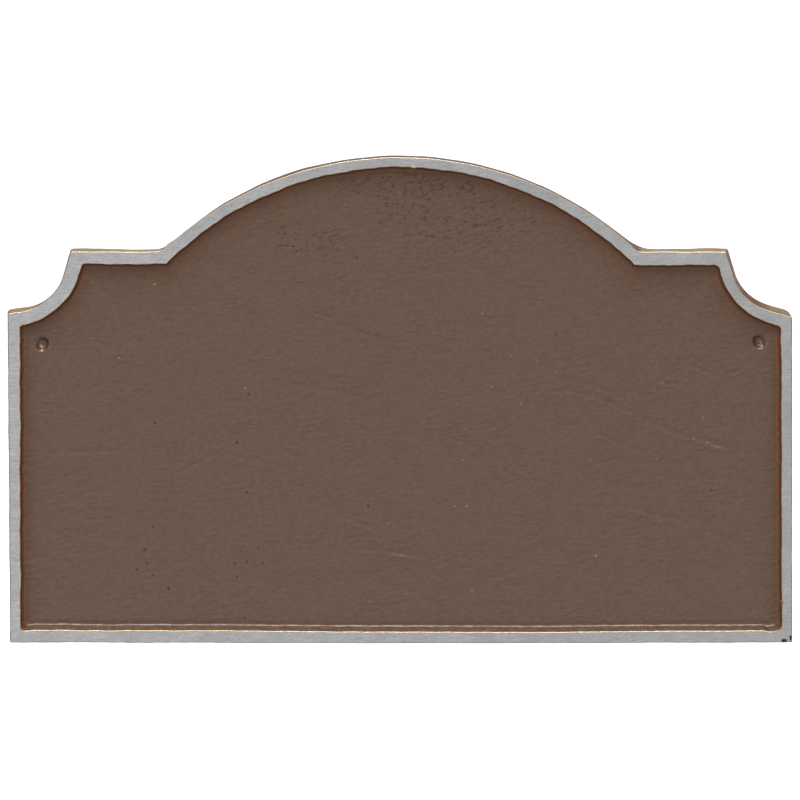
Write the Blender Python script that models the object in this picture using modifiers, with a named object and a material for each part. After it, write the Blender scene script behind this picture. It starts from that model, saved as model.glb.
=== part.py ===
"""Address plaque: one casting with an arched top, notched corners, a raised rim and a dimple for a screw at each side.

Metres, +Z up. The front faces -Y. The origin is on the flat back face, midway between the two screw dimples.
"""

import math

import bmesh
import bpy
from mathutils import Vector

# Outline of the rim's front edge
WIDTH = 0.400
SHOULDER_HEIGHT = 0.203
ARCH_SPAN = 0.241
ARCH_RISE = 0.049
NOTCH_RADIUS = 0.0325
OUTER_CORNER_RADIUS = 0.0007
OUTER_JUNCTION_RADIUS = 0.010

# Section through the border, from the back edge over the rim and down to the field
THICKNESS = 0.008
SIDE_DRAFT_RUN = 0.0004
RIM_WIDTH = 0.0058
ARRIS_RADIUS = 0.0004
RECESS_DEPTH = 0.0035
WALL_RUN = 0.0014
FOOT_RADIUS = 0.0012
INNER_CORNER_RADIUS = 0.0023
INNER_JUNCTION_RADIUS = 0.0010

# Dimples for the fixing screws, placed from the rim's inner edge
DIMPLE_FROM_RIM = 0.0107
DIMPLE_BELOW_NOTCH = 0.0082
DIMPLE_RADIUS = 0.0042
DIMPLE_DEPTH = 0.0024
DIMPLE_OVERCUT = 0.00005

# Smoothness
ARCH_STEPS = 24
NOTCH_STEPS = 12
CORNER_STEPS = 3
SECTION_STEPS = 3
DIMPLE_RINGS = 8
DIMPLE_STEPS = 32
SMOOTH_ANGLE = math.radians(32)

# Finish
PAINT_BROWN = (0.127, 0.078, 0.058, 1.0)
RIM_GREY = (0.40, 0.40, 0.40, 1.0)

QUARTER_TURN = math.pi / 2

BOTTOM_TO_DIMPLE = SHOULDER_HEIGHT - NOTCH_RADIUS - RIM_WIDTH - DIMPLE_BELOW_NOTCH
DIMPLE_X = WIDTH / 2 - RIM_WIDTH - DIMPLE_FROM_RIM
FIELD_HEIGHT = THICKNESS - RECESS_DEPTH


def clear_scene():
    for obj in list(bpy.data.objects):
        bpy.data.objects.remove(obj, do_unlink=True)


def new_collection(name):
    collection = bpy.data.collections.new(name)
    bpy.context.scene.collection.children.link(collection)
    return collection


def principled(name, colour, roughness, metallic):
    material = bpy.data.materials.new(name)
    material.use_nodes = True
    shader = material.node_tree.nodes["Principled BSDF"]
    shader.inputs["Base Color"].default_value = colour
    shader.inputs["Roughness"].default_value = roughness
    shader.inputs["Metallic"].default_value = metallic
    return material


def arc(centre, radius, start, end, steps):
    """Points on a circle from one angle to another, both ends included."""
    angles = [start + (end - start) * i / steps for i in range(steps + 1)]
    return [centre + radius * Vector((math.cos(a), math.sin(a))) for a in angles]


def direction(centre, point):
    return math.atan2(point.y - centre.y, point.x - centre.x)


def right_half(inset, corner_radius, junction_radius):
    """The outline's right half from the bottom corner up to the apex, as x and height above the rim's bottom edge.

    inset is how far it lies inside the rim's front edge, and is negative outside it.
    """
    side = WIDTH / 2 - inset
    shoulder = SHOULDER_HEIGHT - inset
    notch_centre = Vector((WIDTH / 2, SHOULDER_HEIGHT))
    notch_radius = NOTCH_RADIUS + inset
    full_arch_radius = ((ARCH_SPAN / 2) ** 2 + ARCH_RISE**2) / (2 * ARCH_RISE)
    arch_centre = Vector((0.0, SHOULDER_HEIGHT + ARCH_RISE - full_arch_radius))
    arch_radius = full_arch_radius - inset

    # Each end of the notch is rounded by a fillet that touches the notch and the straight edge beside it.
    reach = notch_radius + corner_radius
    offset = inset + corner_radius
    drop = math.sqrt(reach**2 - offset**2)
    low_fillet = Vector((side - corner_radius, SHOULDER_HEIGHT - drop))
    high_fillet = Vector((WIDTH / 2 - drop, shoulder - corner_radius))

    # The arch runs into the shoulder through a fillet that lies outside the metal.
    rise = shoulder + junction_radius - arch_centre.y
    run = math.sqrt((arch_radius + junction_radius) ** 2 - rise**2)
    junction = Vector((run, shoulder + junction_radius))

    bottom_corner = Vector((side - corner_radius, inset + corner_radius))
    notch_start = direction(notch_centre, low_fillet) % math.tau
    notch_end = direction(notch_centre, high_fillet) % math.tau
    return (
        arc(bottom_corner, corner_radius, -QUARTER_TURN, 0, CORNER_STEPS)
        + arc(low_fillet, corner_radius, 0, direction(low_fillet, notch_centre), CORNER_STEPS)
        + arc(notch_centre, notch_radius, notch_start, notch_end, NOTCH_STEPS)[1:-1]
        + arc(high_fillet, corner_radius, direction(high_fillet, notch_centre), QUARTER_TURN, CORNER_STEPS)
        + arc(junction, junction_radius, -QUARTER_TURN, direction(junction, arch_centre), CORNER_STEPS)
        + arc(arch_centre, arch_radius, direction(arch_centre, junction), QUARTER_TURN, ARCH_STEPS)[1:]
    )


def outline(inset, corner_radius, junction_radius):
    """The whole outline, anticlockwise from the right bottom corner as seen from the front."""
    right = right_half(inset, corner_radius, junction_radius)
    left = [Vector((-point.x, point.y)) for point in reversed(right[:-1])]
    return right + left


def rounded(corners, steps):
    """A line through (point, radius) corners, with an arc in place of each corner that has a radius."""
    line = []
    for index, (point, radius) in enumerate(corners):
        if not radius:
            line.append(point)
            continue
        before = (corners[index - 1][0] - point).normalized()
        after = (corners[index + 1][0] - point).normalized()
        half_angle = before.angle(after) / 2
        centre = point + (before + after).normalized() * radius / math.sin(half_angle)
        tangent = radius / math.tan(half_angle)
        start = direction(centre, point + before * tangent)
        sweep = (direction(centre, point + after * tangent) - start + math.pi) % math.tau - math.pi
        line += arc(centre, radius, start, start + sweep, steps)
    return line


def outer_section():
    """Side wall and outer arris, as inset and height above the back face."""
    corners = [
        (Vector((-SIDE_DRAFT_RUN, 0.0)), 0.0),
        (Vector((0.0, THICKNESS)), ARRIS_RADIUS),
        (Vector((RIM_WIDTH, THICKNESS)), 0.0),
    ]
    return rounded(corners, SECTION_STEPS)[:-1]


def inner_section():
    """Inner arris, recess wall and foot, as inset and height above the back face."""
    foot = Vector((RIM_WIDTH + WALL_RUN, FIELD_HEIGHT))
    corners = [
        (Vector((0.0, THICKNESS)), 0.0),
        (Vector((RIM_WIDTH, THICKNESS)), ARRIS_RADIUS),
        (foot, FOOT_RADIUS),
        (foot + Vector((RIM_WIDTH, 0.0)), 0.0),
    ]
    return rounded(corners, SECTION_STEPS)[1:-1]


def add_loop(mesh, inset, height, corner_radius, junction_radius):
    points = outline(inset, corner_radius, junction_radius)
    return [mesh.verts.new((p.x, -height, p.y - BOTTOM_TO_DIMPLE)) for p in points]


def make_plaque(collection):
    """Lofts the border's section round the outline, then closes the back and the field."""
    mesh = bmesh.new()
    loops = [
        add_loop(mesh, inset, height, OUTER_CORNER_RADIUS, OUTER_JUNCTION_RADIUS)
        for inset, height in outer_section()
    ]
    rim_start = len(loops) - 1
    loops += [
        add_loop(mesh, inset, height, INNER_CORNER_RADIUS, INNER_JUNCTION_RADIUS)
        for inset, height in inner_section()
    ]
    for level, (lower, upper) in enumerate(zip(loops, loops[1:])):
        for index, vertex in enumerate(lower):
            after = (index + 1) % len(lower)
            face = mesh.faces.new((vertex, lower[after], upper[after], upper[index]))
            face.material_index = int(level == rim_start)
    mesh.faces.new(reversed(loops[0]))
    mesh.faces.new(loops[-1])

    data = bpy.data.meshes.new("plaque")
    mesh.to_mesh(data)
    mesh.free()
    data.materials.append(principled("brown paint", PAINT_BROWN, 0.45, 0.0))
    data.materials.append(principled("grey rim", RIM_GREY, 0.5, 0.8))
    data.shade_smooth()
    data.set_sharp_from_angle(angle=SMOOTH_ANGLE)
    plaque = bpy.data.objects.new("plaque", data)
    collection.objects.link(plaque)
    return plaque


def dimple_profile():
    """A soft bowl with a rounded lip, from its top centre out, down and back to the axis, as radius and height."""
    profile = [Vector((0.0, 0.0, DIMPLE_OVERCUT))]
    for ring in range(DIMPLE_RINGS + 1):
        share = 1 - ring / DIMPLE_RINGS
        depth = DIMPLE_DEPTH * (1 + math.cos(math.pi * share)) / 2
        profile.append(Vector((DIMPLE_RADIUS * share, 0.0, DIMPLE_OVERCUT - depth)))
    return profile


def make_dimple_cutter(name, x, collection):
    """The bowl turned about its axis, which points out of the field."""
    mesh = bmesh.new()
    line = [mesh.verts.new(point) for point in dimple_profile()]
    for start, end in zip(line, line[1:]):
        mesh.edges.new((start, end))
    data = bpy.data.meshes.new(name)
    mesh.to_mesh(data)
    mesh.free()
    cutter = bpy.data.objects.new(name, data)
    collection.objects.link(cutter)
    screw = cutter.modifiers.new("turn", "SCREW")
    screw.axis = "Z"
    screw.steps = DIMPLE_STEPS
    screw.render_steps = DIMPLE_STEPS
    screw.use_merge_vertices = True
    screw.merge_threshold = 0.00001
    cutter.location = (x, -FIELD_HEIGHT, 0.0)
    cutter.rotation_euler = (QUARTER_TURN, 0.0, 0.0)
    cutter.hide_render = True
    cutter.display_type = "WIRE"
    return cutter


def cut(target, cutter):
    boolean = target.modifiers.new(cutter.name, "BOOLEAN")
    boolean.operation = "DIFFERENCE"
    boolean.solver = "EXACT"
    boolean.object = cutter


def main():
    clear_scene()
    parts = new_collection("address plaque")
    cutters = new_collection("cutters")
    plaque = make_plaque(parts)
    for name, x in (("left dimple", -DIMPLE_X), ("right dimple", DIMPLE_X)):
        cut(plaque, make_dimple_cutter(name, x, cutters))


main()
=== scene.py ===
"""The address plaque with its finish: a sand casting in brown gloss paint, its rim linished to bare metal.

Metres, +Z up. The front faces -Y and the back lies at y = 0. Plan points are (x, z), seen from the front.
"""

import math
import random
from dataclasses import dataclass

import bpy
import numpy as np
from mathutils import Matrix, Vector, noise
from mathutils.geometry import delaunay_2d_cdt
from mathutils.kdtree import KDTree


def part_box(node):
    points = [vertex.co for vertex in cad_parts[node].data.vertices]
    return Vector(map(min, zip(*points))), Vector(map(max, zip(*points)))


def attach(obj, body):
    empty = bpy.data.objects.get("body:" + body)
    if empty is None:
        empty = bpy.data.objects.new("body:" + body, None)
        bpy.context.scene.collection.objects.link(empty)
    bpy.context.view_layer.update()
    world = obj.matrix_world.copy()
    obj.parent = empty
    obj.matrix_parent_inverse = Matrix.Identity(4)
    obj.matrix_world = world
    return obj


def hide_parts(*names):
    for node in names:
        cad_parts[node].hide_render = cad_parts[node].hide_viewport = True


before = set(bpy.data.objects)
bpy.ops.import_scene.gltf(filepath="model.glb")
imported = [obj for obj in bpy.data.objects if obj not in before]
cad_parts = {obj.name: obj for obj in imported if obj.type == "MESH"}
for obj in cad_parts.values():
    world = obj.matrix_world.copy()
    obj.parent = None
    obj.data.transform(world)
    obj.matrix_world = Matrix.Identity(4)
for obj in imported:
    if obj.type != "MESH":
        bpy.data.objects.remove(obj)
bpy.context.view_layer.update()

MM = 0.001

# Outline of the rim's front edge, as drawn before hand work
LOWEST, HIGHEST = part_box("plaque")
DRAFT = 0.4 * MM
HALF_WIDTH = HIGHEST.x - DRAFT
BOTTOM = LOWEST.z + DRAFT
TOP = HIGHEST.z - DRAFT
THICKNESS = HIGHEST.y - LOWEST.y
SHOULDER = BOTTOM + 203 * MM

# Section through the border
RIM_WIDTH = 5.7 * MM
RECESS_DEPTH = 3.5 * MM
FIELD_HEIGHT = THICKNESS - RECESS_DEPTH
WALL_RUN = 1.9 * MM
BOTTOM_WALL_STRETCH = 0.4
BACK_EDGE_RADIUS = 0.5 * MM
OUTER_ARRIS_RADIUS = 0.35 * MM
INNER_ARRIS_RADIUS = 0.4 * MM
FOOT_RADIUS = 1.4 * MM
ARC_STEPS = 5
EDGE_SUPPORT = 0.25 * MM
RIM_MARGIN = 0.7 * MM
PAINT_REACH = 1.4 * MM
SECTION_REACH = 4 * MM
LONGEST_STEP = 2.4 * MM

# Points along the runs of one half: bottom, side, the notch's low and high flares, shoulder and arch
RUN_STEPS = [190, 150, 8, 14, 44, 124]

# Points round the corners between them: bottom, low corner, notch, high corner and junction
CORNER_STEPS = [7, 7, 32, 7, 12]

# Dimples for the fixing screws: middle, and the direction in which the wall is steepest
DIMPLE_RADIUS = 4.5 * MM
DIMPLE_DEPTH = 2.1 * MM
DIMPLE_ROUGHNESS = 0.05 * MM
DIMPLE_LEAN = 0.55
DIMPLE_RINGS = 14
FULL_RING = 8
RING_STEPS = 54
RINGS_REACH = 1.06 * DIMPLE_RADIUS
DIMPLES = [
    (Vector((-0.1828, -0.0014)), math.radians(-45)),
    (Vector((0.1838, -0.0001)), math.radians(-125)),
]


@dataclass
class Edge:
    """One edge of a half: how far in from the drawn outline each run lies, and its radii, in millimetres.

    The last two are the angles of the notch's low and high flares, in degrees.
    """

    bottom: float
    side_low: float
    side_high: float
    notch_drop: float
    notch_reach: float
    shoulder: float
    arch: float
    arch_radius: float
    bottom_corner: float
    low_corner: float
    notch_radius: float
    high_corner: float
    junction_radius: float
    low_angle: float
    high_angle: float


# Front, back and inner edge of each half, as it came from the pattern and by hand, told as a right half
RIGHT = [
    Edge(0.1, -0.3, 0.1, 33.7, 33.6, -0.15, -0.05, 175.2, 0.5, 0.7, 25.5, 0.7, 4.8, 15.4, 17.0),
    Edge(0.0, -0.35, -0.05, 32.15, 33.0, -0.1, 0.4, 174.5, 0.7, 6.5, 26.1, 1.5, 17.0, 15.4, 17.0),
    Edge(6.4, 5.0, 5.6, 40.3, 39.85, 6.9, 5.1, 165.9, 3.0, 2.5, 36.7, 3.2, 1.0, 15.4, 17.0),
]
LEFT = [
    Edge(0.1, 1.25, 0.22, 32.1, 32.5, -0.15, -0.05, 175.2, 0.5, 0.7, 27.6, 0.7, 9.0, 8.5, 17.9),
    Edge(0.0, 1.05, 0.05, 31.4, 32.8, 0.0, 0.4, 174.5, 0.7, 2.4, 22.6, 1.5, 9.5, 8.5, 17.9),
    Edge(6.4, 6.6, 6.5, 40.2, 40.4, 6.3, 5.1, 165.9, 2.0, 1.1, 38.5, 1.2, 1.0, 13.0, 17.9),
]


@dataclass
class Station:
    """A line round the border: its inset and height, and its share of the back edge and of the inner edge."""

    inset: float
    height: float
    back: float
    inner: float

    def blend(self, front, back, inner):
        """A size at this station, from its values at the three edges."""
        outer = front + (back - front) * self.back
        return outer + (inner - outer) * self.inner


class Straight:
    """A straight run, with the direction that leads out of the metal."""

    def __init__(self, point, out):
        self.point = Vector(point)
        self.out = Vector(out).normalized()

    def inset(self, amount):
        return Straight(self.point - self.out * amount, self.out)

    def toward(self, other, share):
        return Straight(self.point.lerp(other.point, share), self.out.lerp(other.out, share))

    def nearest(self, point):
        return point - self.out * (point - self.point).dot(self.out)

    def walk(self, start, end, steps):
        return [start.lerp(end, i / steps) for i in range(steps)]


class Round:
    """A run on a circle with the metal inside it."""

    def __init__(self, centre, radius):
        self.centre = Vector(centre)
        self.radius = radius

    def inset(self, amount):
        return Round(self.centre, self.radius - amount)

    def toward(self, other, share):
        radius = self.radius + (other.radius - self.radius) * share
        return Round(self.centre.lerp(other.centre, share), radius)

    def nearest(self, point):
        return self.centre + (point - self.centre).normalized() * self.radius

    def walk(self, start, end, steps):
        first = direction(self.centre, start)
        sweep = (direction(self.centre, end) - first + math.pi) % math.tau - math.pi
        return [on_circle(self.centre, self.radius, first + sweep * i / steps) for i in range(steps)]


def direction(centre, point):
    return math.atan2(point.y - centre.y, point.x - centre.x)


def on_circle(centre, radius, angle):
    return centre + radius * Vector((math.cos(angle), math.sin(angle)))


def meeting(straight, other, near):
    """Where a straight run meets another run, at the meeting point nearest to a given one."""
    along = Vector((-straight.out.y, straight.out.x))
    if isinstance(other, Straight):
        gap = (other.point - straight.point).dot(other.out)
        return straight.point + along * gap / along.dot(other.out)
    foot = straight.nearest(other.centre)
    reach = math.sqrt(other.radius**2 - (foot - other.centre).length_squared)
    return min((foot - along * reach, foot + along * reach), key=lambda p: (p - near).length)


def fillet(before, after, radius):
    """The arc that rounds a corner, and its two ends. A negative radius puts it outside the metal."""
    near = Vector((HALF_WIDTH, SHOULDER))
    centre = meeting(before.inset(radius), after.inset(radius), near)
    return Round(centre, abs(radius)), before.nearest(centre), after.nearest(centre)


def runs(edge):
    """The runs of one edge of a half: bottom, side, the notch's low and high flares, shoulder and arch."""
    low = math.radians(edge.low_angle)
    high = math.radians(edge.high_angle)
    arch_radius = edge.arch_radius * MM
    side_foot = Vector((HALF_WIDTH - edge.side_low * MM, BOTTOM))
    side = Vector((HALF_WIDTH - edge.side_high * MM, SHOULDER - edge.notch_drop * MM)) - side_foot
    return [
        Straight((0.0, BOTTOM + edge.bottom * MM), (0.0, -1.0)),
        Straight(side_foot, (side.y, -side.x)),
        Straight((HALF_WIDTH, SHOULDER - edge.notch_drop * MM), (math.sin(low), math.cos(low))),
        Straight((HALF_WIDTH - edge.notch_reach * MM, SHOULDER), (math.cos(high), math.sin(high))),
        Straight((0.0, SHOULDER - edge.shoulder * MM), (0.0, 1.0)),
        Round((0.0, TOP - edge.arch * MM - arch_radius), arch_radius),
    ]


def corner_radii(half, station):
    """The radii between the runs at a station, negative where the arc lies outside the metal."""

    def convex(name):
        return station.blend(*(getattr(edge, name) for edge in half)) * MM

    grown = station.inset - station.inner * RIM_WIDTH
    notch = -convex("notch_radius") - min(grown, 0.0)
    junction = -convex("junction_radius") - grown
    return [convex("bottom_corner"), convex("low_corner"), notch, convex("high_corner"), junction]


def half_outline(half, station):
    """One half's outline at a station, as a right half from the bottom's middle up, and its apex."""
    edges = []
    past_rim = station.inset - RIM_WIDTH
    stretch = BOTTOM_WALL_STRETCH * max(0.0, past_rim)
    for front, back, inner in zip(*map(runs, half)):
        outer = front.toward(back, station.back).inset(station.inset)
        edges.append(outer.toward(inner.inset(past_rim + stretch), station.inner))
        stretch = 0.0
    points = []
    start = edges[0].nearest(Vector((0.0, BOTTOM)))
    for index, radius in enumerate(corner_radii(half, station)):
        arc, arc_start, arc_end = fillet(edges[index], edges[index + 1], radius)
        points += edges[index].walk(start, arc_start, RUN_STEPS[index])
        points += arc.walk(arc_start, arc_end, CORNER_STEPS[index])
        start = arc_end
    apex = edges[-1].nearest(Vector((0.0, TOP)))
    return points + edges[-1].walk(start, apex, RUN_STEPS[-1]), apex


def outline(station):
    """The whole outline at a station, anticlockwise from the bottom's middle as seen from the front."""
    right, apex = half_outline(RIGHT, station)
    left, _ = half_outline(LEFT, station)
    mirrored = [Vector((-point.x, point.y)) for point in reversed(left[1:])]
    return np.array(right + [apex] + mirrored)


def rounded(corners):
    """A line through (point, radius) corners, with an arc in place of each corner between the two ends."""
    line = []
    for (before, _), (point, radius), (after, _) in zip(corners, corners[1:], corners[2:]):
        back = (before - point).normalized()
        on = (after - point).normalized()
        half_angle = back.angle(on) / 2
        circle = Round(point + (back + on).normalized() * radius / math.sin(half_angle), radius)
        tangent = radius / math.tan(half_angle)
        end = point + on * tangent
        line += circle.walk(point + back * tangent, end, ARC_STEPS) + [end]
    return line


def with_supports(line):
    """The line with points near the ends of each long step, which keep arrises crisp, and some between."""
    full = [line[0]]
    for start, end in zip(line, line[1:]):
        length = (end - start).length
        if length > 4 * EDGE_SUPPORT:
            near_start = start.lerp(end, EDGE_SUPPORT / length)
            near_end = end.lerp(start, EDGE_SUPPORT / length)
            steps = math.ceil(length / LONGEST_STEP)
            full += [near_start.lerp(near_end, i / steps) for i in range(steps + 1)]
        full.append(end)
    return full


def border_stations():
    """The border's section from the back over the rim and down to the field."""
    corners = [
        (Vector((SECTION_REACH, 0.0)), 0.0),
        (Vector((0.0, 0.0)), BACK_EDGE_RADIUS),
        (Vector((0.0, THICKNESS)), OUTER_ARRIS_RADIUS),
        (Vector((RIM_WIDTH, THICKNESS)), INNER_ARRIS_RADIUS),
        (Vector((RIM_WIDTH + WALL_RUN, FIELD_HEIGHT)), FOOT_RADIUS),
        (Vector((RIM_WIDTH + WALL_RUN + SECTION_REACH, FIELD_HEIGHT)), 0.0),
    ]
    stations = []
    for point in with_supports(rounded(corners)):
        outside = point.x < RIM_WIDTH / 2
        back = 1 - point.y / THICKNESS if outside else 0.0
        inner = min(1.0, max(0.0, (point.x - RIM_MARGIN) / (RIM_WIDTH - 2 * RIM_MARGIN)))
        stations.append(Station(point.x, point.y, back, inner * (point.y > THICKNESS / 4)))
    return stations


def outward(loop):
    """The direction out of the metal at each point of a loop."""
    along = np.roll(loop, -1, axis=0) - np.roll(loop, 1, axis=0)
    out = np.stack([along[:, 1], -along[:, 0]], axis=1)
    return out / np.linalg.norm(out, axis=1, keepdims=True)


def hand_wander(distance, total, swings, seed):
    """A hand-worked edge's wander along a closed loop: waves of some lengths, each with its own reach."""
    draw = random.Random(seed)
    wander = np.zeros(len(distance))
    for length, reach in swings:
        turns = max(1, round(total / length))
        for extra in (0, 1):
            phase = draw.uniform(0, math.tau)
            wander += reach * np.sin(math.tau * (turns + extra) * distance / total + phase)
    return wander


OUTER_SWINGS = [(60 * MM, 0.04 * MM), (22 * MM, 0.035 * MM), (9 * MM, 0.02 * MM)]
INNER_SWINGS = [(120 * MM, 0.05 * MM), (45 * MM, 0.08 * MM), (17 * MM, 0.06 * MM), (7 * MM, 0.04 * MM)]

# The walls' ripple, which starts a little below the rim's top
WALL_RIPPLE = 0.06 * MM
RIPPLE_SIZE = 6 * MM
RIPPLE_START = 0.3 * MM

# Places where an edge was knocked or ground off, in millimetres: middle, reach and push out of the metal
OUTER_KNOCKS = [
    (-118.2, 48.6, 1.6, 0.35),
    (-122.0, 46.6, 2.5, 0.15),
]
BACK_KNOCKS = [
    (158.0, 46.6, 15.0, 0.5),
    (-160.0, 46.6, 12.0, 0.5),
    (119.3, 48.4, 7.0, 0.8),
    (-108.0, 58.0, 12.0, -0.7),
    (-57.0, 86.0, 18.0, 0.4),
]
INNER_KNOCKS = [
    (6.6, 90.6, 0.9, 0.9),
    (194.9, -135.0, 0.8, 0.5),
    (194.6, 1.5, 2.2, -0.35),
    (189.4, -150.2, 2.2, 0.55),
    (-193.6, -135.0, 5.0, 0.35),
    (-190.0, -149.6, 2.5, 0.4),
]


def knocked(loop, knocks):
    push = np.zeros(len(loop))
    for x, z, reach, amount in knocks:
        gap = np.linalg.norm(loop / MM - (x, z), axis=1)
        push += amount * MM * np.exp(-((gap / reach) ** 2))
    return push


# Places on the inner edge where the metal broke away bright, in millimetres: middle and reach
BREAKS = [(6.6, 90.2, 1.2), (194.9, -135.0, 0.6)]


def broken_edge(loop):
    """1 in the middle of a break in the inner edge, easing to 0 beside it."""
    bright = np.zeros(len(loop))
    for x, z, reach in BREAKS:
        gap = np.linalg.norm(loop / MM - (x, z), axis=1)
        bright = np.maximum(bright, np.exp(-((gap / reach) ** 4)))
    return bright


# The slow downward bow of the bottom's two edges: how much, where along the bottom, and its reach
OUTER_BOW = (0.5 * MM, 15 * MM, 130 * MM)
INNER_BOW = (1.5 * MM, 40 * MM, 115 * MM)
BOW_TOP = 16 * MM
BOW_EASE = 14 * MM


def bottom_bow(loop, bow):
    amount, middle, reach = bow
    near_bottom = np.clip((BOTTOM + BOW_TOP - loop[:, 1]) / BOW_EASE, 0, 1)
    return near_bottom * amount * np.exp(-(((loop[:, 0] - middle) / reach) ** 2))


# Relief of the field

# Soft waves: height and size in millimetres, how much longer than wide, tilt, and a seed of their own
WAVES = [
    (0.12, 70, 1.0, 0.0, 3.1),
    (0.14, 17, 1.8, -0.2, 7.7),
    (0.12, 8, 1.9, -0.15, 12.3),
    (0.07, 4.6, 2.2, -0.25, 15.9),
]

CREASE_WIDTH = 1.25 * MM
CREASE_STRENGTH = 4.0
CREASE_WAVER = 0.5 * MM
CREASE_LIP = 0.9
# Painted shade: how dark the creases' grooves are painted
CREASE_SHADE = 0.05
# Depth and corners in millimetres
CREASES = [
    (0.050, [(-65, -20), (-41, -25), (-15, -30)]),
    (0.075, [(64, -14), (92, -22), (120, -31)]),
    (0.080, [(73, -23), (107, -32), (130, -44), (158, -53), (194, -63)]),
    (0.060, [(21, -49), (41, -57), (56, -69), (79, -76)]),
    (0.060, [(92, -44), (118, -56), (141, -69)]),
    (0.070, [(-180, -58), (-158, -58), (-138, -57)]),
    (0.060, [(-186, -79), (-174, -73), (-163, -68)]),
    (0.050, [(-181, -92), (-153, -93), (-123, -88)]),
    (0.050, [(-125, -89), (-118, -75), (-106, -65), (-89, -60), (-61, -65)]),
    (0.060, [(-41, -89), (-23, -94), (0, -103)]),
    (0.070, [(-28, -108), (-5, -110), (15, -113)]),
    (0.070, [(112, -86), (143, -94), (179, -108)]),
    (0.060, [(146, -75), (158, -71), (194, -78)]),
    (0.050, [(158, -91), (179, -101), (176, -117)]),
    (0.060, [(138, -8), (164, -18), (184, -8)]),
    (0.060, [(-164, 4), (-153, -2), (-141, -10)]),
    (0.050, [(-176, -21), (-158, -28), (-138, -34)]),
]
SCRATCH = [(-53, 17), (-45, 15), (-38, 13), (-25, 7), (-17, 4), (-8, 2)]
PITS = [
    (-125, -43), (-83, -53), (-78, -79), (-126, -97), (-130, -109), (-129, -116), (-134, -119), (-126, -122),
    (-72, -108), (-81, -110), (-84, -116), (-78, -115), (-70, -116), (-83, -123), (-175, -125), (-118, -129),
    (-79, -145), (-77, -28), (80, 3), (159, -78), (-16, -86), (-22, 43),
]
# Pimples in the paint, in millimetres; their pale tops are partly chipped paint and partly painted highlight
PIMPLES = [
    (-125, 29), (-157, 1), (-143, -9), (-79, -25), (42, 14), (57, -8), (14, -21), (47, -24), (80, -16),
    (34, -46), (157, -53), (-6, -95), (97, -62), (32, -62), (87, -46), (131, -62), (155, -40), (150, -51),
    (34, -86), (28, -86), (37, -130), (100, -112), (70, -11), (134, -22), (82, -29), (62, -33), (92, -71),
    (147, 13), (43, 17),
]
# Painted highlights low in the dimples: bright spots
GLINTS = [(183.9, -1.5), (184.6, -3.2), (-182.8, -3.4), (-182.4, -5.2)]
GLINT_RADIUS = 0.75 * MM
GLINT_STRENGTH = 2
PIT_RADIUS = 0.45 * MM
# Painted shade: how dark the pits are painted
PIT_SHADE = 1.4
PIT_DEPTH = 0.28 * MM
PIMPLE_RADIUS = 0.5 * MM
PIMPLE_HEIGHT = 0.16 * MM
SCRATCH_WIDTH = 0.4 * MM
SCRATCH_DEPTH = 0.16 * MM
# Painted shade: how dark the scratch is painted
SCRATCH_SHADE = 0.4

COARSE_SPACING = 1.55 * MM
FINE_SPACING = 0.78 * MM
FINE_REACH = 2.4 * MM
BACK_SPACING = 6 * MM
BACK_WARP = 0.08 * MM
BACK_FLAT = 25 * MM

# How far from the rim's inner edge the paint has lost gloss: below it, beside it and above it
LEE_BELOW = 8.0 * MM
LEE_BESIDE = 3.2 * MM
LEE_ABOVE = 4.2 * MM
LEE_EASE = 0.35 * MM

# How much gloss is lost: below and beside the edge, on the wall above the bottom run, and on the outer wall
LOST_BELOW = 0.78
LOST_BESIDE = 0.95
LOST_ON_WALL = 0.30
LOST_AT_FOOT = 0.50
LOST_OUTSIDE = 0.5


def smooth_route(corners, spacing=0.5 * MM):
    """Points along a smooth curve through corners that are given in millimetres."""
    route = [Vector(corner) * MM for corner in corners]
    route = [2 * route[0] - route[1]] + route + [2 * route[-1] - route[-2]]
    points = []
    for before, start, end, after in zip(route, route[1:], route[2:], route[3:]):
        steps = max(1, round((end - start).length / spacing))
        for i in range(steps):
            t = i / steps
            bend = (end - before) * t + (2 * before - 5 * start + 4 * end - after) * t**2
            bend += (3 * start - before - 3 * end + after) * t**3
            points.append(start + bend / 2)
    return np.array(points + [route[-2]])


def beside_route(points, route, reach):
    """The points within reach of a route: which they are, how far along they lie, and how far to its left."""
    lowest = route.min(axis=0) - reach
    highest = route.max(axis=0) + reach
    found = np.flatnonzero(((points > lowest) & (points < highest)).all(axis=1))
    offset = points[found][:, None, :] - route[None, :, :]
    gap = np.linalg.norm(offset, axis=2)
    nearest = gap.argmin(axis=1)
    rows = np.arange(len(found))
    along = np.gradient(route, axis=0)[nearest]
    to_point = offset[rows, nearest]
    side = np.sign(along[:, 0] * to_point[:, 1] - along[:, 1] * to_point[:, 0])
    return found, nearest / (len(route) - 1), side * gap[rows, nearest]


def noise_at(points, size, seed, stretch=1.0, tilt=0.0):
    """Smooth noise from -1 to 1 with features of about a size, longer by stretch along a tilted line."""
    c, s = math.cos(tilt), math.sin(tilt)
    along = (points[:, 0] * c + points[:, 1] * s) / (size * stretch)
    across = (points[:, 1] * c - points[:, 0] * s) / size
    return np.array([noise.noise(Vector((u, v, seed))) for u, v in zip(along, across)])


def dimple_depth(points):
    """Round sinkings with a small flat floor off their middle, so that one side's wall is the steepest."""
    depth = np.zeros(len(points))
    for centre, steepest in DIMPLES:
        offset = points - np.array(centre)
        gap = np.linalg.norm(offset, axis=1) / DIMPLE_RADIUS
        turn = np.arctan2(offset[:, 1], offset[:, 0]) - steepest
        floor = 0.30 + 0.28 * np.cos(turn)
        share = np.clip((1 - gap) / (1 - floor), 0, 1)
        rough = DIMPLE_ROUGHNESS * noise_at(points, 1.3 * MM, 61.3)
        lopsided = 1 + DIMPLE_LEAN * gap * np.cos(turn)
        depth += np.where(gap < 1, lopsided * (DIMPLE_DEPTH + rough) * (1 - np.cos(math.pi * share)) / 2, 0)
    return depth


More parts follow.
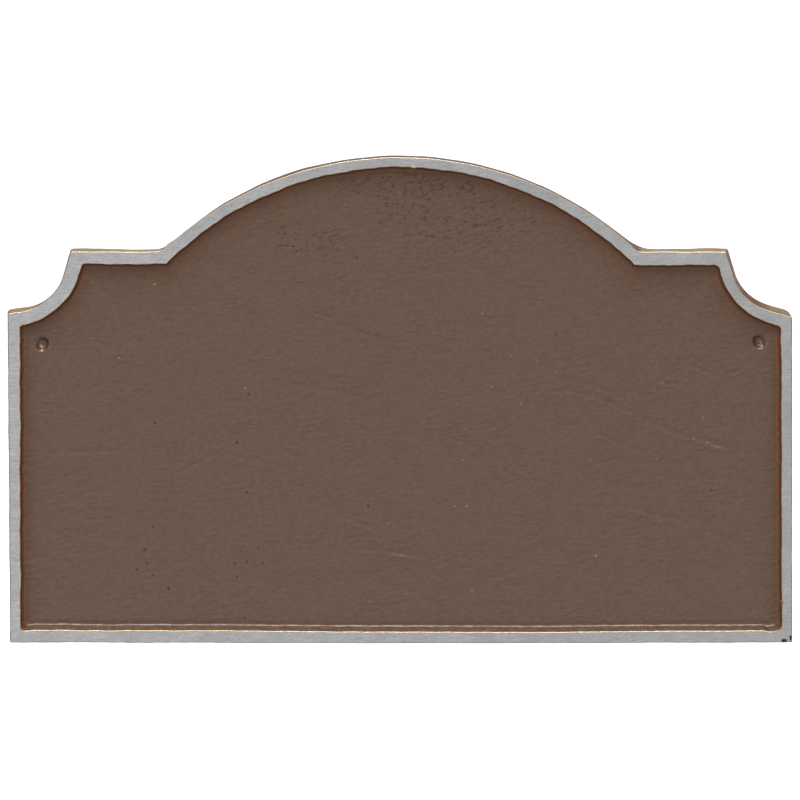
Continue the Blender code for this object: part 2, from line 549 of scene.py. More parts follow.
def spots(points, places, radius, seed):
    """Round marks at places in millimetres, each of its own size and strength, which is at most 1."""
    draw = random.Random(seed)
    shape = np.zeros(len(points))
    for place in places:
        own = radius * draw.uniform(0.7, 1.2)
        strength = draw.uniform(0.6, 1.0)
        gap = np.linalg.norm(points - np.array(place) * MM, axis=1) / own
        shape = np.maximum(shape, strength * np.exp(-(gap**2)))
    return shape


def press_creases(points, height, grime):
    """Presses the creases into the height, each with a raised lip, and paints a little shade along their
    grooves.
    """
    for number, (depth, corners) in enumerate(CREASES):
        found, share, gap = beside_route(points, smooth_route(corners), 3.5 * CREASE_WIDTH)
        gap = gap + CREASE_WAVER * noise_at(points[found], 4 * MM, 20.5 + number)
        fade = noise_at(points[found], 9 * MM, 50.5 + number)
        strength = CREASE_STRENGTH * depth * MM * np.sqrt(np.sin(math.pi * share))
        strength *= np.clip(0.8 + fade, 0.2, 1.4)
        lip = CREASE_LIP * np.exp(-((gap / CREASE_WIDTH + 1.5) ** 2))
        groove = np.exp(-((gap / CREASE_WIDTH) ** 2))
        height[found] += strength * (lip - groove)
        darkening = CREASE_SHADE * groove * np.clip(0.6 + 1.5 * fade, 0, 1)
        grime[found] = np.maximum(grime[found], darkening)


def press_scratch(points, height, grime):
    """Cuts the one long scratch, broken here and there, and paints shade along it."""
    found, _, gap = beside_route(points, smooth_route(SCRATCH), 3 * SCRATCH_WIDTH)
    gap = gap + 0.3 * MM * noise_at(points[found], 3 * MM, 90.5)
    broken = np.clip(0.5 + 1.8 * noise_at(points[found], 3.5 * MM, 80.5), 0, 1)
    line = broken * np.exp(-((gap / SCRATCH_WIDTH) ** 2))
    height[found] -= SCRATCH_DEPTH * line
    grime[found] = np.maximum(grime[found], SCRATCH_SHADE * line)


def field_relief(points):
    """The field's height above its plane, the shade painted into its creases, pits and scratch, and its pale
    spots: chipped paint and painted highlights on the pimples, and painted highlights low in the dimples.
    """
    height = np.zeros(len(points))
    grime = np.zeros(len(points))
    for rise, size, stretch, tilt, seed in WAVES:
        height += rise * MM * noise_at(points, size * MM, seed, stretch, tilt)
    press_creases(points, height, grime)
    press_scratch(points, height, grime)
    pits = spots(points, PITS, PIT_RADIUS, 5)
    chips = spots(points, PIMPLES, PIMPLE_RADIUS, 6)
    height += PIMPLE_HEIGHT * chips - PIT_DEPTH * pits - dimple_depth(points)
    # Painted highlights low in the dimples, made stronger than any chip
    chips = np.maximum(chips, GLINT_STRENGTH * spots(points, GLINTS, GLINT_RADIUS, 7))
    return height, np.maximum(grime, np.minimum(PIT_SHADE * pits, 1.0)), chips


# The casting's mesh


def lattice(spacing):
    """Points on a triangular lattice over the plaque's box."""
    row = spacing * math.sqrt(3) / 2
    points = []
    for j, z in enumerate(np.arange(BOTTOM, TOP, row)):
        shift = (j % 2) * spacing / 2
        points += [(x, z) for x in np.arange(-HALF_WIDTH + shift, HALF_WIDTH, spacing)]
    return np.array(points)


def nearest(points, marks):
    """The number of the mark nearest to each point, and how far away it is."""
    tree = KDTree(len(marks))
    for index, mark in enumerate(marks):
        tree.insert((mark[0], mark[1], 0.0), index)
    tree.balance()
    found = [tree.find((point[0], point[1], 0.0)) for point in points]
    return np.array([index for _, index, _ in found]), np.array([gap for _, _, gap in found])


def gaps_to(points, marks):
    return nearest(points, marks)[1]


def inside_by(points, loop, margin):
    """The points that lie inside a loop by at least a margin."""
    index, _ = nearest(points, loop)
    depth = ((loop[index] - points) * outward(loop)[index]).sum(axis=1)
    return points[depth > margin]


def lost_gloss(points, rim_edge):
    """How much gloss the paint lacks near the rim: far below its top, close by its sides and its bottom."""
    index, gap = nearest(points, rim_edge)
    up = outward(rim_edge)[index, 1]
    below = np.maximum(up, 0)
    reach = LEE_BESIDE + (LEE_BELOW - LEE_BESIDE) * below
    fading = (LOST_BESIDE - (LOST_BESIDE - LOST_BELOW) * below) * np.exp(-gap / reach)
    above = LOST_ON_WALL + (LOST_AT_FOOT - LOST_ON_WALL) * np.minimum(1.0, gap / LEE_ABOVE)
    above /= 1 + np.exp(np.minimum(40.0, (gap - LEE_ABOVE) / LEE_EASE))
    return fading + (above - fading) * np.maximum(-up, 0)


def dimple_rings():
    """Points in rings about each dimple's middle."""
    points = []
    for centre, _ in DIMPLES:
        points.append(tuple(centre))
        for ring in range(1, DIMPLE_RINGS + 1):
            radius = RINGS_REACH * ring / DIMPLE_RINGS
            count = 6 * ring if ring < FULL_RING else RING_STEPS
            points += [tuple(on_circle(centre, radius, math.tau * i / count)) for i in range(count)]
    return np.array(points)


def field_points(loop):
    """Points inside the foot of the wall, close together at creases, marks and dimples."""
    routes = [smooth_route(corners) for _, corners in CREASES] + [smooth_route(SCRATCH)]
    tops = np.array(PITS + PIMPLES) * MM
    marks = np.concatenate(routes + [tops])
    rings = dimple_rings()
    coarse = inside_by(lattice(COARSE_SPACING), loop, 0.6 * COARSE_SPACING)
    coarse = coarse[gaps_to(coarse, marks) > FINE_REACH + FINE_SPACING / 2]
    fine = lattice(FINE_SPACING)
    fine = fine[(gaps_to(fine, marks) < FINE_REACH) & (gaps_to(fine, tops) > FINE_SPACING / 2)]
    fine = inside_by(fine, loop, 0.6 * FINE_SPACING)
    both = np.concatenate([coarse, fine, tops])
    clear = np.ones(len(both), bool)
    for centre, _ in DIMPLES:
        clear &= np.linalg.norm(both - np.array(centre), axis=1) > RINGS_REACH + FINE_SPACING
    return np.concatenate([both[clear], rings])


def filled(loop, inner):
    """Triangles that fill a loop through the points inside it. The loop's points are numbered first."""
    points = [Vector(point) for point in np.concatenate([loop, inner])]
    result = delaunay_2d_cdt(points, [], [list(range(len(loop)))], 1, 1e-7, True)
    first_input = [came_from[0] for came_from in result[3]]
    inside = [face for face, came_from in zip(result[2], result[5]) if came_from]
    return np.array([[first_input[index] for index in face] for face in inside])


# What the finishes read from the mesh, with its value on the back
MARKS = {"grime": 0.0, "chip": 0.0, "lost_gloss": 0.0, "past_arris": 2 * PAINT_REACH}
PAINTED_FACE, LINISHED_RIM, PLAIN_BACK = range(3)

# Where on the wall's run the field's relief starts to show, and how far it takes to show in full
RELIEF_START = 0.5
RELIEF_EASE = 0.9


class Skin:
    """The casting's points and faces, gathered region by region."""

    def __init__(self):
        self.places = []
        self.marks = {name: [] for name in MARKS}
        self.faces = []
        self.finish = []

    def add_points(self, places, **marks):
        """Adds points with what the finishes read from them, and returns the first one's number."""
        first = sum(len(held) for held in self.places)
        self.places.append(places)
        for name, plain in MARKS.items():
            self.marks[name].append(np.broadcast_to(marks.get(name, plain), len(places)))
        return first

    def add_faces(self, faces, finish):
        self.faces += faces.tolist()
        self.finish += [finish] * len(faces)


def worn_edges(front_edge, inner_edge):
    """How far hand work moved the front edge and the inner edge out of the metal, all along them."""
    steps = np.linalg.norm(np.roll(front_edge, -1, axis=0) - front_edge, axis=1)
    distance = np.concatenate([[0.0], np.cumsum(steps)[:-1]])
    outer = hand_wander(distance, steps.sum(), OUTER_SWINGS, 11)
    outer += knocked(front_edge, OUTER_KNOCKS) + bottom_bow(front_edge, OUTER_BOW)
    inner = hand_wander(distance, steps.sum(), INNER_SWINGS, 12)
    inner += knocked(inner_edge, INNER_KNOCKS) + bottom_bow(inner_edge, INNER_BOW)
    return outer, inner


def wear(loop, station, outer, inner):
    """Moves a loop as the hand work moved the edges, and keeps it inside the plaque's box."""
    shift = (1 - station.inner) * outer + station.inner * inner
    shift = shift + station.back * knocked(loop, BACK_KNOCKS)
    if THICKNESS - station.height >= RIPPLE_START:
        shift = shift + WALL_RIPPLE * noise_at(loop + station.height, RIPPLE_SIZE, 31.7)
    moved = loop + outward(loop) * shift[:, None]
    loop[:] = np.clip(moved, (LOWEST.x, LOWEST.z), (HIGHEST.x, HIGHEST.z))


def add_border(skin, stations, loops):
    """The border, lofted round from the back to the foot of the wall. Returns the rim's inner edge."""
    on_front = min(stations, key=lambda s: abs(s.inset) + abs(s.height - THICKNESS))
    inner_edge = loops[max(k for k, station in enumerate(stations) if station.inset < RIM_WIDTH)]
    outer, inner = worn_edges(loops[stations.index(on_front)], inner_edge)
    for station, loop, distance in zip(stations, loops, distance_past_arris(stations)):
        wear(loop, station, outer, inner)
        relief, grime, chip = field_relief(loop)
        down = max(0.0, (station.inset - RIM_WIDTH) / WALL_RUN - RELIEF_START)
        weight = min(1.0, down / RELIEF_EASE) if station.inner == 1 else 0.0
        places = np.column_stack([loop[:, 0], -station.height - weight * relief, loop[:, 1]])
        broken = station.inner == 1 and weight == 0
        dull = lost_gloss(loop, inner_edge) if station.inner == 1 else LOST_OUTSIDE
        chip = broken_edge(loop) if broken else weight * chip
        skin.add_points(places, grime=weight * grime, chip=chip, lost_gloss=dull, past_arris=distance)

    count = len(loops[0])
    ring = np.arange(count)
    onward = (ring + 1) % count
    for level, (lower, upper) in enumerate(zip(stations, stations[1:])):
        low, high = level * count, (level + 1) * count
        quads = np.column_stack([low + ring, low + onward, high + onward, high + ring])
        on_top = lower.height + upper.height > 2 * (THICKNESS - PAINT_REACH)
        skin.add_faces(quads, LINISHED_RIM if on_top else PAINTED_FACE)
    return inner_edge


def add_field(skin, foot, inner_edge):
    """The field inside the foot of the wall, whose points are the last ones added."""
    field = field_points(foot)
    relief, grime, chip = field_relief(field)
    places = np.column_stack([field[:, 0], -FIELD_HEIGHT - relief, field[:, 1]])
    first = skin.add_points(places, grime=grime, chip=chip, lost_gloss=lost_gloss(field, inner_edge))
    number = np.arange(first - len(foot), first + len(field))
    skin.add_faces(number[filled(foot, field)], PAINTED_FACE)


def add_back(skin, edge):
    """The back inside its edge, whose points are the first ones added. It is warped a little, as cast."""
    back = inside_by(lattice(BACK_SPACING), edge, 0.5 * BACK_SPACING)
    warp = BACK_WARP * (1 + noise_at(back, 60 * MM, 44.2))
    inward = np.clip(gaps_to(back, edge) / BACK_FLAT, 0, 1)
    first = skin.add_points(np.column_stack([back[:, 0], -warp * inward, back[:, 1]]))
    number = np.concatenate([np.arange(len(edge)), first + np.arange(len(back))])
    skin.add_faces(number[filled(edge, back)][:, ::-1], PLAIN_BACK)


def make_casting():
    """The plaque as one closed mesh: the border lofted round, the field and the back filled in."""
    stations = border_stations()
    loops = [outline(station) for station in stations]
    skin = Skin()
    inner_edge = add_border(skin, stations, loops)
    add_field(skin, loops[-1], inner_edge)
    add_back(skin, loops[0])

    mesh = bpy.data.meshes.new("plaque_casting")
    mesh.from_pydata(np.concatenate(skin.places).tolist(), [], skin.faces)
    mesh.polygons.foreach_set("material_index", skin.finish)
    mesh.shade_smooth()
    for name, values in skin.marks.items():
        attribute = mesh.attributes.new(name, "FLOAT", "POINT")
        attribute.data.foreach_set("value", np.concatenate(values).astype(np.float32))
    casting = bpy.data.objects.new("plaque_casting", mesh)
    bpy.context.scene.collection.objects.link(casting)
    return casting


def distance_past_arris(stations):
    """How far down the section each station lies from the end of the rim's flat. Negative on the flat."""
    line = np.array([[station.inset, station.height] for station in stations])
    along = np.concatenate([[0.0], np.cumsum(np.linalg.norm(np.diff(line, axis=0), axis=1))])
    flat = along[line[:, 1] > THICKNESS - 0.001 * MM]
    return np.maximum(flat.min() - along, along - flat.max())


# Finishes


class Bench:
    """Places the nodes of one tree and joins them, so that a finish reads from top to bottom."""

    def __init__(self, tree):
        self.tree = tree

    def put(self, kind, inputs=None, **settings):
        node = self.tree.nodes.new("ShaderNode" + kind)
        for name, value in settings.items():
            setattr(node, name, value)
        for name, value in (inputs or {}).items():
            self.feed(node.inputs[name], value)
        return node

    def feed(self, socket, value):
        if isinstance(value, bpy.types.NodeSocket):
            self.tree.links.new(value, socket)
        else:
            socket.default_value = value

    def math(self, operation, first, second):
        return self.put("Math", {0: first, 1: second}, operation=operation).outputs[0]

    def plus(self, first, second):
        return self.math("ADD", first, second)

    def minus(self, first, second):
        return self.math("SUBTRACT", first, second)

    def times(self, first, second):
        return self.math("MULTIPLY", first, second)

    def over(self, first, second):
        return self.math("DIVIDE", first, second)

    def most(self, first, second):
        return self.math("MAXIMUM", first, second)

    def stretch(self, value, low, high, to_low=0.0, to_high=1.0):
        """The value's range from low to high, eased and spread over another range."""
        spread = {"Value": value, "From Min": low, "From Max": high, "To Min": to_low, "To Max": to_high}
        return self.put("MapRange", spread, interpolation_type="SMOOTHSTEP").outputs["Result"]

    def mix(self, factor, first, second):
        node = self.put("Mix", data_type="RGBA")
        self.feed(node.inputs[0], factor)
        self.feed(node.inputs[6], first)
        self.feed(node.inputs[7], second)
        return node.outputs[2]

    def place(self):
        """Where a point is on the object, in metres."""
        return self.put("TexCoord").outputs["Object"]

    def drawn_out(self, place, factors, turn=0.0):
        """The place squeezed along its axes, so that a grain read from it comes out longer along them."""
        turned = self.put("Mapping", {"Vector": place, "Rotation": (0.0, turn, 0.0)}).outputs[0]
        return self.put("Mapping", {"Vector": turned, "Scale": factors}).outputs[0]

    def grain(self, place, size, detail=2.0, roughness=0.5):
        """Noise from 0 to 1 with features of about a size."""
        inputs = {"Vector": place, "Scale": 1 / size, "Detail": detail, "Roughness": roughness}
        return self.put("TexNoise", inputs).outputs["Fac"]

    def attribute(self, name):
        return self.put("Attribute", attribute_name=name).outputs["Fac"]

    def part_of(self, vector, axis):
        return self.put("SeparateXYZ", {"Vector": vector}).outputs[axis]

    def facing_up(self):
        """How far the surface faces up, from -1 to 1."""
        return self.part_of(self.put("TexCoord").outputs["Normal"], "Z")


def shared_effect(name, inputs, outputs):
    """An empty node group with named sockets, and its bench, its way in and its way out."""
    group = bpy.data.node_groups.new(name, "ShaderNodeTree")
    for socket, kind, value in inputs:
        made = group.interface.new_socket(socket, in_out="INPUT", socket_type="NodeSocket" + kind)
        if value is not None:
            made.default_value = value
    for socket, kind in outputs:
        group.interface.new_socket(socket, in_out="OUTPUT", socket_type="NodeSocket" + kind)
    way_in = group.nodes.new("NodeGroupInput")
    way_out = group.nodes.new("NodeGroupOutput")
    return group, Bench(group), way_in, way_out


def finish_material(name):
    material = bpy.data.materials.new(name)
    material.use_nodes = True
    shader = material.node_tree.nodes["Principled BSDF"]
    return material, Bench(material.node_tree), shader


BROWN_PAINT = (0.0340, 0.0142, 0.0058, 1.0)
WARM_PAINT = (0.0430, 0.0185, 0.0078, 1.0)
THIN_PAINT = (0.110, 0.042, 0.013, 1.0)
# Painted light: a lighter warm brown that lifts the shade beside the rim's walls
LEE_LIGHT_BROWN = (0.0860, 0.0360, 0.0170, 1.0)
# Painted light: the pale tan of the side ledges that face up into the light from above
LEDGE_LIGHT_TAN = (0.105, 0.068, 0.034, 1.0)
# Pale tan of chipped paint, also standing for painted highlights on the pimples
CHIP_AND_HIGHLIGHT_TAN = (0.130, 0.084, 0.050, 1.0)
# Near-black brown of the paint's dark specks, also used for the painted shade in hollows and beside the walls
DIRT_AND_SHADE = (0.008, 0.0035, 0.0020, 1.0)
LINISHED_METAL = (0.30, 0.30, 0.305, 1.0)
DULL_METAL = (0.146, 0.146, 0.146, 1.0)
# Painted highlight and painted shade of the arrises: cream where they face up, dark where they face down
ARRIS_HIGHLIGHT = (0.42, 0.375, 0.27, 1.0)
SHADED_EDGE = (0.115, 0.056, 0.024, 1.0)
# Pale metal of the inner edge's real breaks, also the colour of the painted highlights in the dimples
BROKEN_METAL_AND_GLINT = (0.50, 0.44, 0.31, 1.0)
METAL_SHARE = 0.6
BELT_DEPTH = 0.012 * MM
RAGGED = 0.07 * MM


def brown_paint_effect():
    """Gloss paint over a sand casting: hardly mottled, peeled like an orange, darkened by the flecks and
    painted shade fed to it.
    """
    inputs = [("Place", "Vector", None), ("Flecks and shade", "Float", 0.0)]
    outputs = [("Color", "Color"), ("Roughness", "Float"), ("Height", "Float")]
    group, bench, way_in, way_out = shared_effect("brown paint", inputs, outputs)
    place = way_in.outputs["Place"]
    slanted = bench.drawn_out(place, (0.7, 1.0, 1.0), turn=0.3)
    mottle = bench.grain(slanted, 1.7 * MM, detail=3.0, roughness=0.65)
    speck = bench.grain(place, 0.9 * MM, detail=2.0, roughness=0.7)
    colour = bench.mix(bench.stretch(mottle, 0.36, 0.64), BROWN_PAINT, WARM_PAINT)
    speckled = bench.mix(bench.stretch(speck, 0.58, 0.8, 0.0, 0.35), colour, DIRT_AND_SHADE)
    # Darkened by the flecks and the painted shade fed in
    darkened = bench.mix(way_in.outputs["Flecks and shade"], speckled, DIRT_AND_SHADE)
    bench.feed(way_out.inputs["Color"], darkened)
    sheen = bench.stretch(bench.grain(place, 5 * MM), 0.3, 0.7, 0.27, 0.36)
    bench.feed(way_out.inputs["Roughness"], bench.plus(sheen, bench.times(speck, 0.06)))
    peel = bench.grain(bench.drawn_out(place, (0.38, 1.0, 1.0), turn=0.15), 2.2 * MM, detail=2.5)
    patchy = bench.stretch(bench.grain(place, 15 * MM, detail=1.0), 0.36, 0.64, 0.4, 1.45)
    peel = bench.times(bench.minus(peel, 0.5), patchy)
    sand = bench.grain(place, 1.0 * MM, detail=1.0)
    bench.feed(way_out.inputs["Height"], bench.plus(peel, bench.times(sand, 0.25)))
    return group


def place_effect(bench, group, inputs):
    node = bench.put("Group", node_tree=group)
    for name, value in inputs.items():
        bench.feed(node.inputs[name], value)
    return node


def bump(bench, height, depth):
    return bench.put("Bump", {"Height": height, "Distance": depth, "Strength": 1.0}).outputs["Normal"]


def crowd_about(bench, place, x, z, reach_x, reach_z):
    """1 in the middle of an oval patch of the front, easing to 0 at its edge. Sizes are in millimetres."""
    parts = bench.put("SeparateXYZ", {"Vector": place}).outputs
    across = bench.over(bench.minus(parts["X"], x * MM), reach_x * MM)
    down = bench.over(bench.minus(parts["Z"], z * MM), reach_z * MM)
    far = bench.plus(bench.times(across, across), bench.times(down, down))
    return bench.stretch(far, 0.0, 1.0, 1.0, 0.0)


def flecks(bench, place):
    """Where the paint broke up into small dull dabs: thick under the top of the arch, thin further down."""
    under_arch = crowd_about(bench, place, 16, 87, 76, 23)
    below = bench.times(crowd_about(bench, place, 30, 68, 64, 30), 0.62)
    left_group = bench.times(crowd_about(bench, place, -48, 52, 26, 14), 0.65)
    crowd = bench.most(under_arch, bench.most(below, left_group))
    slanted = bench.drawn_out(place, (0.5, 1.0, 1.0), turn=0.2)
    dab = bench.grain(slanted, 1.3 * MM, detail=2.0, roughness=0.6)
    level = bench.plus(dab, bench.times(crowd, 0.185))
    return bench.times(bench.stretch(level, 0.65, 0.78), bench.stretch(crowd, 0.0, 0.25))


def gloss_left(bench, dull_spots):
    """The gloss coat's share: full on the open field, broken on the wall, gone where the paint is dull."""
    place = bench.place()
    beside = bench.attribute("lost_gloss")
    broken = bench.grain(bench.drawn_out(place, (0.3, 1.0, 1.0)), 1.3 * MM, detail=2.0)
    patches = bench.stretch(broken, 0.4, 0.6, 0.0, 0.25)
    worn = bench.times(bench.stretch(bench.facing_up(), 0.1, 0.3), patches)
    lost = bench.most(bench.plus(beside, worn), dull_spots)
    return bench.most(0.0, bench.minus(1.0, lost))


GLOSS_ROUGHNESS = 0.34
PEEL_DEPTH = 0.78 * MM


def set_gloss(shader):
    """Gloss paint: a matt colour under a clear coat."""
    shader.inputs["Specular IOR Level"].default_value = 0.0
    shader.inputs["Coat Roughness"].default_value = GLOSS_ROUGHNESS


def paint_with_painted_light(bench, place, paint):
    """The paint's colour with painted light: a lighter warm brown beside the walls, lifting their shade,
    except on faces that turn up, and a pale tan on the up-facing ledges of the sides below the arch, where
    light from above falls.
    """
    # Painted light: lighter beside the walls, where their shade falls, on all but up-facing faces
    lee_light = bench.stretch(bench.attribute("lost_gloss"), 0.3, 0.75, 0.0, 0.8)
    away_from_up = bench.stretch(bench.facing_up(), 0.2, 0.6, 1.0, 0.15)
    lee_lit = bench.mix(bench.times(lee_light, away_from_up), paint, LEE_LIGHT_BROWN)
    # Painted light: the up-facing ledges below the arch made pale tan
    level = bench.stretch(bench.facing_up(), 0.85, 0.99)
    height = bench.part_of(place, "Z")
    below_arch = bench.stretch(height, SHOULDER + 4 * MM, SHOULDER + 14 * MM, 1.0, 0.0)
    return bench.mix(bench.times(level, below_arch), lee_lit, LEDGE_LIGHT_TAN)


def painted_face(paint):
    """The field, the recess wall and the side wall, in brown gloss paint."""
    material, bench, shader = finish_material("brown gloss paint")
    set_gloss(shader)
    place = bench.place()
    fleck = flecks(bench, place)
    # Painted shade: the creases, pits and scratch darkened, and the dull flecks painted darker in the lee of
    # the rim's walls, where their shade falls
    dark = bench.stretch(bench.attribute("lost_gloss"), 0.1, 0.5, 0.28, 0.6)
    darkening = bench.most(bench.attribute("grime"), bench.times(fleck, dark))
    coat = place_effect(bench, paint, {"Place": place, "Flecks and shade": bench.times(darkening, 0.9)})
    lit_paint = paint_with_painted_light(bench, place, coat.outputs["Color"])
    # Pale spots: chipped paint and painted highlights on the pimples, and painted highlights in the dimples
    chip = bench.attribute("chip")
    chipped = bench.mix(bench.stretch(chip, 0.3, 0.7), lit_paint, CHIP_AND_HIGHLIGHT_TAN)
    # Painted highlights: the dimples' bright spots in a pale metal colour
    bench.feed(shader.inputs["Base Color"], bench.mix(bench.stretch(chip, 1.0, 1.7), chipped, BROKEN_METAL_AND_GLINT))
    bench.feed(shader.inputs["Roughness"], coat.outputs["Roughness"])
    dull_spots = bench.most(darkening, bench.times(fleck, 0.5))
    bench.feed(shader.inputs["Coat Weight"], gloss_left(bench, dull_spots))
    bench.feed(shader.inputs["Normal"], bump(bench, coat.outputs["Height"], PEEL_DEPTH))
    return material


def belt_marks(bench, place):
    """The belt's work on the rim, from 0 where it hardly touched to 1 where it cut: fine lines and specks."""
    lines = bench.grain(bench.drawn_out(place, (0.06, 1.0, 1.0)), 0.5 * MM, detail=3.0, roughness=0.7)
    slanted = bench.grain(bench.drawn_out(place, (0.15, 1.0, 1.0), turn=0.7), 0.8 * MM, detail=2.0)
    speck = bench.grain(place, 0.8 * MM, detail=2.0, roughness=0.8)
    both = bench.plus(bench.times(lines, 0.45), bench.times(slanted, 0.2))
    return bench.stretch(bench.plus(both, bench.times(speck, 0.35)), 0.32, 0.68)


def uneven_metal(bench, place, marks):
    """The rim's bare metal: darker in patches and toward the right, brighter on the shoulders."""
    metal = bench.mix(marks, DULL_METAL, LINISHED_METAL)
    darker_right = bench.stretch(bench.part_of(place, "X"), -HALF_WIDTH, HALF_WIDTH, 0.0, 0.3)
    patch = bench.stretch(bench.grain(place, 14 * MM, detail=3.0), 0.35, 0.75, 0.0, 0.35)
    height = bench.part_of(place, "Z")
    from_low = bench.stretch(height, SHOULDER - 12 * MM, SHOULDER - 6 * MM)
    to_high = bench.stretch(height, SHOULDER + 3 * MM, SHOULDER + 9 * MM, 1.0, 0.0)
    on_shoulder = bench.times(from_low, to_high)
    brighter = bench.times(on_shoulder, 0.22)
    return bench.mix(bench.minus(bench.plus(darker_right, patch), brighter), metal, DULL_METAL)


def paint_drops(bench, place):
    """Two small drops of paint that the belt missed at the lower right corner."""
    low = crowd_about(bench, place, 196.2, -155.4, 2.2, 1.3)
    beside = crowd_about(bench, place, 199.6, -154.0, 0.9, 2.0)
    grain = bench.grain(place, 0.8 * MM, detail=2.0)
    return bench.stretch(bench.plus(grain, bench.most(low, beside)), 1.0, 1.15)


def linished_rim(paint):
    """The rim's top, linished to bare metal, with arrises that the paint reaches thinly; their bare metal is
    painted cream where it faces up and dark where it faces down, as painted highlight and painted shade.
    """
    material, bench, shader = finish_material("linished metal rim")
    set_gloss(shader)
    place = bench.place()
    marks = belt_marks(bench, place)
    ragged = bench.times(bench.grain(place, 2.6 * MM, detail=2.0), 2 * RAGGED)
    past = bench.plus(bench.attribute("past_arris"), bench.minus(ragged, RAGGED))
    burnished = bench.stretch(past, -0.10 * MM, 0.05 * MM)
    covered = bench.stretch(past, 0.20 * MM, 0.30 * MM)
    thick = bench.stretch(past, 0.30 * MM, 0.60 * MM)

    coat = place_effect(bench, paint, {"Place": place})
    # Painted highlight and painted shade: arrises cream where they face up, dark where they face down
    arris_lit_and_shaded = bench.mix(bench.stretch(bench.facing_up(), 0.05, 0.45), SHADED_EDGE, ARRIS_HIGHLIGHT)
    bare = bench.mix(burnished, uneven_metal(bench, place, marks), arris_lit_and_shaded)
    covering = bench.mix(thick, THIN_PAINT, coat.outputs["Color"])
    rim = bench.mix(covered, bare, covering)
    spotted = bench.mix(paint_drops(bench, place), rim, coat.outputs["Color"])
    broken = bench.stretch(bench.attribute("chip"), 0.3, 0.6)
    bench.feed(shader.inputs["Base Color"], bench.mix(broken, spotted, BROKEN_METAL_AND_GLINT))

    rubbed = bench.stretch(marks, 0.0, 1.0, 0.52, 0.38)
    glossy = bench.minus(rubbed, bench.times(burnished, 0.08))
    bench.feed(shader.inputs["Roughness"], glossy)
    bare_share = bench.minus(1.0, covered)
    bench.feed(shader.inputs["Metallic"], bench.times(bare_share, METAL_SHARE))
    bench.feed(shader.inputs["Coat Weight"], bench.times(covered, gloss_left(bench, 0.0)))
    bench.feed(shader.inputs["Normal"], bump(bench, marks, BELT_DEPTH))
    return material


def painted_back(paint):
    """The back, which no one sees: the same paint, thinner, over coarser sand marks."""
    material, bench, shader = finish_material("brown paint, plain back")
    place = bench.place()
    coat = place_effect(bench, paint, {"Place": place})
    sand = bench.grain(place, 1.8 * MM, detail=3.0, roughness=0.6)
    bench.feed(shader.inputs["Base Color"], coat.outputs["Color"])
    bench.feed(shader.inputs["Roughness"], bench.plus(coat.outputs["Roughness"], 0.15))
    height = bench.plus(coat.outputs["Height"], bench.times(sand, 2.0))
    bench.feed(shader.inputs["Normal"], bump(bench, height, 0.08 * MM))
    return material


# Studio


FLOOR_GREY = (0.46, 0.46, 0.46, 1.0)
FLOOR_REACH = 30.0
FLOOR_BELOW = 0.45
TENT_STRENGTH = 1.27

# Each lamp's energy, and its place seen from the plaque: turned from straight ahead, and above the level
KEY_ENERGY = 6.05
KEY_SPREAD = math.radians(28)
KEY_PLACE = (math.radians(-4), math.radians(57))
FILL_ENERGY = 6.0
FILL_SIZE = 0.8
FILL_PLACE = (math.radians(-55), math.radians(15))
FILL_DISTANCE = 1.6


def floor_material():
    """A pale matt floor. It is clear from below, so that a view from under the plaque isn't blocked."""
    material, bench, shader = finish_material("pale floor")
    shader.inputs["Base Color"].default_value = FLOOR_GREY
    shader.inputs["Roughness"].default_value = 0.9
    shader.inputs["Specular IOR Level"].default_value = 0.0
    output = material.node_tree.nodes["Material Output"]
    underside = bench.put("NewGeometry").outputs["Backfacing"]
    clear = bench.put("BsdfTransparent").outputs["BSDF"]
    blend = bench.put("MixShader", {"Fac": underside, 1: shader.outputs["BSDF"], 2: clear})
    bench.feed(output.inputs["Surface"], blend.outputs["Shader"])
    return material


def make_floor():
    reach = FLOOR_REACH
    corners = [(-reach, -reach), (reach, -reach), (reach, reach), (-reach, reach)]
    mesh = bpy.data.meshes.new("floor")
    mesh.from_pydata([(x, y, LOWEST.z - FLOOR_BELOW) for x, y in corners], [], [(0, 1, 2, 3)])
    mesh.materials.append(floor_material())
    floor = bpy.data.objects.new("floor", mesh)
    bpy.context.scene.collection.objects.link(floor)


def make_surroundings():
    """A plain white light tent."""
    world = bpy.data.worlds.new("light tent")
    world.use_nodes = True
    background = world.node_tree.nodes["Background"]
    background.inputs["Color"].default_value = (1.0, 1.0, 1.0, 1.0)
    background.inputs["Strength"].default_value = TENT_STRENGTH
    bpy.context.scene.world = world


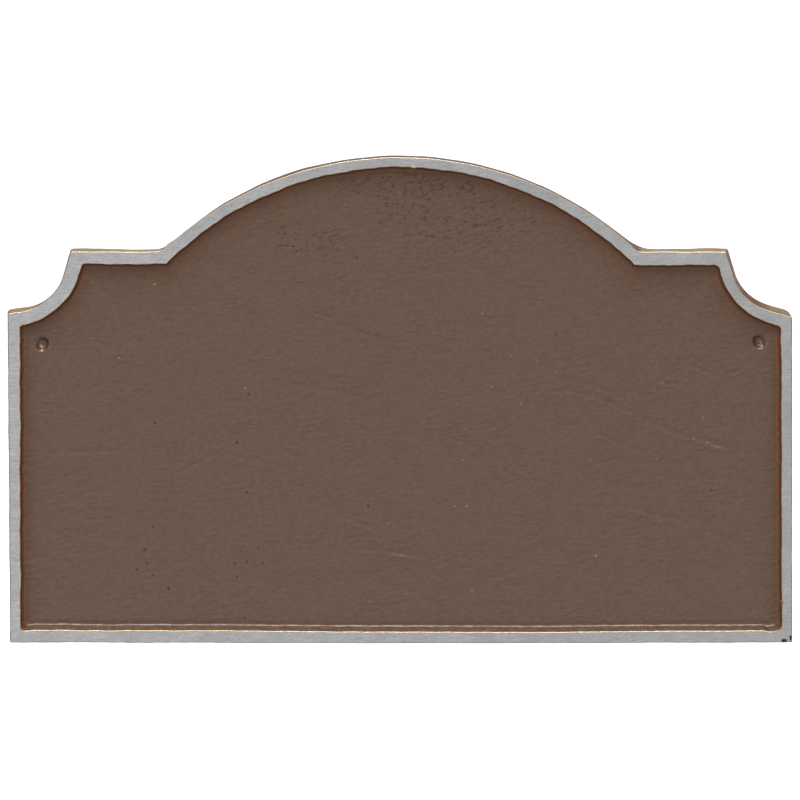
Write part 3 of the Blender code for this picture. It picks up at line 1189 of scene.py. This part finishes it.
def toward(azimuth, elevation):
    """The direction from the plaque's front out to a lamp: azimuth turns it from straight ahead toward +X."""
    flat = math.cos(elevation)
    return Vector((flat * math.sin(azimuth), -flat * math.cos(azimuth), math.sin(elevation)))


def make_key():
    """A wide soft light from above the front, far enough to be even over the whole plaque."""
    lamp = bpy.data.lights.new("overhead softbox", "SUN")
    lamp.energy = KEY_ENERGY
    lamp.angle = KEY_SPREAD
    key = bpy.data.objects.new("overhead softbox", lamp)
    key.rotation_euler = toward(*KEY_PLACE).to_track_quat("Z", "Y").to_euler()
    bpy.context.scene.collection.objects.link(key)


def make_fill():
    """A weak broad light at the left."""
    lamp = bpy.data.lights.new("side fill", "AREA")
    lamp.energy = FILL_ENERGY
    lamp.size = FILL_SIZE
    fill = bpy.data.objects.new("side fill", lamp)
    out = toward(*FILL_PLACE)
    fill.location = out * FILL_DISTANCE
    fill.rotation_euler = out.to_track_quat("Z", "Y").to_euler()
    fill.visible_camera = False
    bpy.context.scene.collection.objects.link(fill)


PICTURE_SIDE = 800
PIXELS_PER_METRE = 1961.5
CAMERA_DISTANCE = 18.0
CAMERA_ELEVATION = math.radians(11.0)


def make_camera():
    """A long lens looking slightly down on the plaque's front."""
    lens = bpy.data.cameras.new("camera")
    lens.sensor_width = 36.0
    lens.lens = PIXELS_PER_METRE * lens.sensor_width * CAMERA_DISTANCE / PICTURE_SIDE
    lens.clip_end = 200.0
    camera = bpy.data.objects.new("camera", lens)
    aim = Vector((0.15 * MM, LOWEST.y, (BOTTOM + TOP) / 2 + 0.2 * MM))
    out = toward(0.0, CAMERA_ELEVATION)
    camera.location = aim + out * CAMERA_DISTANCE
    camera.rotation_euler = out.to_track_quat("Z", "Y").to_euler()
    bpy.context.scene.collection.objects.link(camera)
    bpy.context.scene.camera = camera


def main():
    casting = make_casting()
    paint = brown_paint_effect()
    for material in (painted_face(paint), linished_rim(paint), painted_back(paint)):
        casting.data.materials.append(material)
    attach(casting, "root")
    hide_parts("plaque")
    make_floor()
    make_surroundings()
    make_key()
    make_fill()
    make_camera()
    bpy.context.scene.view_settings.view_transform = "Standard"


main()
